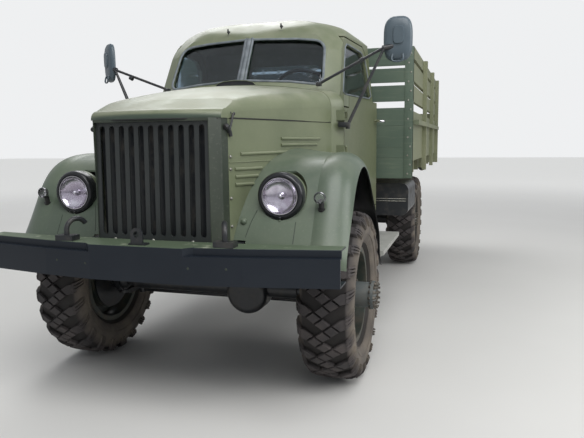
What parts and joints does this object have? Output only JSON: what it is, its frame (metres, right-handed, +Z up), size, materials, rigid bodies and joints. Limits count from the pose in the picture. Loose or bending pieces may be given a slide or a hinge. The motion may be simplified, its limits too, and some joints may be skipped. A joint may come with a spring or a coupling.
{
  "type": "military cargo truck",
  "caption": "Military cargo truck with a bonneted cab, rounded hood, arched front fenders, an open slatted cargo bed, steered front wheels and opening doors, hood and tailgate.",
  "frame": {"origin": "on the ground under the middle of the truck's length and width", "axes": "+X to the vehicle's left, +Y to its rear, +Z up"},
  "size_m": [2.2601, 5.525, 2.2449],
  "materials": {
    "cab_paint": "satin",
    "bed_paint": "matt",
    "chassis_paint": "semi-gloss",
    "grille_paint": "satin",
    "wheel_paint": "satin",
    "tyre": "matt",
    "iron": "rough",
    "exhaust_steel": "rusted",
    "radiator_core": "matt",
    "window_glass": "clear",
    "lamp_lens": "ribbed",
    "lamp_body": "gloss",
    "lamp_chrome": "bright",
    "seat_cover": "worn",
    "steering_plastic": "gloss"
  },
  "bodies": {
    "chassis": {"front_fenders": "cab_paint", "engine_side_panels": "cab_paint", "radiator_shell": "cab_paint", "cab_cowl": "cab_paint", "cab_roof": "cab_paint", "cab_windscreen_frame": "cab_paint", "cab_rear_wall": "cab_paint", "cab_sides": "cab_paint", "cab_floor": "cab_paint", "dashboard": "cab_paint", "bed_bearers": "bed_paint", "bed_floor": "bed_paint", "bed_front_wall": "bed_paint", "bed_sides": "bed_paint", "chassis_frame": "chassis_paint", "front_axle": "chassis_paint", "rear_axle": "chassis_paint", "leaf_springs": "chassis_paint", "propeller_shafts": "chassis_paint", "front_bumper": "chassis_paint", "tow_hooks": "chassis_paint", "running_boards": "chassis_paint", "fuel_tank": "chassis_paint", "mirrors": "chassis_paint", "steering_column": "chassis_paint", "grille_panel": "grille_paint", "engine_block": "iron", "transfer_case": "iron", "exhaust": "exhaust_steel", "radiator": "radiator_core", "cab_windows": "window_glass", "headlamp_lenses": "lamp_lens", "headlamps": "lamp_body", "tail_lamps": "lamp_body", "marker_lamps": "lamp_chrome", "bench_seat": "seat_cover"},
    "knuckle_left": {"knuckle_left": "chassis_paint"},
    "knuckle_right": {"knuckle_right": "chassis_paint"},
    "tie_rod": {"tie_rod": "chassis_paint"},
    "wheel_front_left": {"wheel_front_left": "wheel_paint", "tyre_front_left": "tyre"},
    "wheel_front_right": {"wheel_front_right": "wheel_paint", "tyre_front_right": "tyre"},
    "wheel_rear_left": {"wheel_rear_left": "wheel_paint", "tyre_rear_left": "tyre"},
    "wheel_rear_right": {"wheel_rear_right": "wheel_paint", "tyre_rear_right": "tyre"},
    "steering_wheel": {"steering_wheel": "steering_plastic"},
    "door_left": {"door_left": "cab_paint", "door_glass_left": "window_glass"},
    "door_right": {"door_right": "cab_paint", "door_glass_right": "window_glass"},
    "hood": {"hood": "cab_paint"},
    "tailgate": {"tailgate": "bed_paint"}
  },
  "joints": [
    {"name": "steer_left", "type": "hinge", "parent": "chassis", "child": "knuckle_left", "pos_m": [0.64, -1.8925, 0.4785], "axis": [0, 0, 1], "range_deg": [-27, 27]},
    {"name": "steer_right", "type": "hinge", "parent": "chassis", "child": "knuckle_right", "pos_m": [-0.64, -1.8925, 0.4785], "axis": [0, 0, 1], "range_deg": [-27, 27]},
    {"name": "tie_rod_pivot", "type": "hinge", "parent": "knuckle_left", "child": "tie_rod", "pos_m": [0.64, -1.6705, 0.37], "axis": [0, 0, 1], "range_deg": [-27, 27]},
    {"name": "steering_wheel_turn", "type": "hinge", "parent": "chassis", "child": "steering_wheel", "pos_m": [0.34, -0.9625, 1.7], "axis": [0, 0.6428, 0.766], "range_deg": [-540, 540]},
    {"name": "roll_front_left", "type": "hinge", "parent": "knuckle_left", "child": "wheel_front_left", "pos_m": [0.805, -1.8925, 0.4785], "axis": [1, 0, 0], "continuous": true},
    {"name": "roll_front_right", "type": "hinge", "parent": "knuckle_right", "child": "wheel_front_right", "pos_m": [-0.805, -1.8925, 0.4785], "axis": [1, 0, 0], "continuous": true},
    {"name": "roll_rear_left", "type": "hinge", "parent": "chassis", "child": "wheel_rear_left", "pos_m": [0.805, 1.4075, 0.4785], "axis": [1, 0, 0], "continuous": true},
    {"name": "roll_rear_right", "type": "hinge", "parent": "chassis", "child": "wheel_rear_right", "pos_m": [-0.805, 1.4075, 0.4785], "axis": [1, 0, 0], "continuous": true},
    {"name": "door_left_hinge", "type": "hinge", "parent": "chassis", "child": "door_left", "pos_m": [0.72849, -1.4155, 1.38], "axis": [0, 0, -1], "range_deg": [0, 60]},
    {"name": "door_right_hinge", "type": "hinge", "parent": "chassis", "child": "door_right", "pos_m": [-0.72849, -1.4155, 1.38], "axis": [0, 0, 1], "range_deg": [0, 60]},
    {"name": "hood_hinge", "type": "hinge", "parent": "chassis", "child": "hood", "pos_m": [0, -1.4925, 1.718], "axis": [-1, 0, 0], "range_deg": [0, 50]},
    {"name": "tailgate_hinge", "type": "hinge", "parent": "chassis", "child": "tailgate", "pos_m": [0, 2.7465, 1.138], "axis": [-1, 0, 0], "range_deg": [0, 90]}
  ],
  "couplings": [
    {"joint": "steer_right", "follows": "steer_left", "ratio": 1},
    {"joint": "tie_rod_pivot", "follows": "steer_left", "ratio": -1},
    {"joint": "steering_wheel_turn", "follows": "steer_left", "ratio": 20}
  ]
}
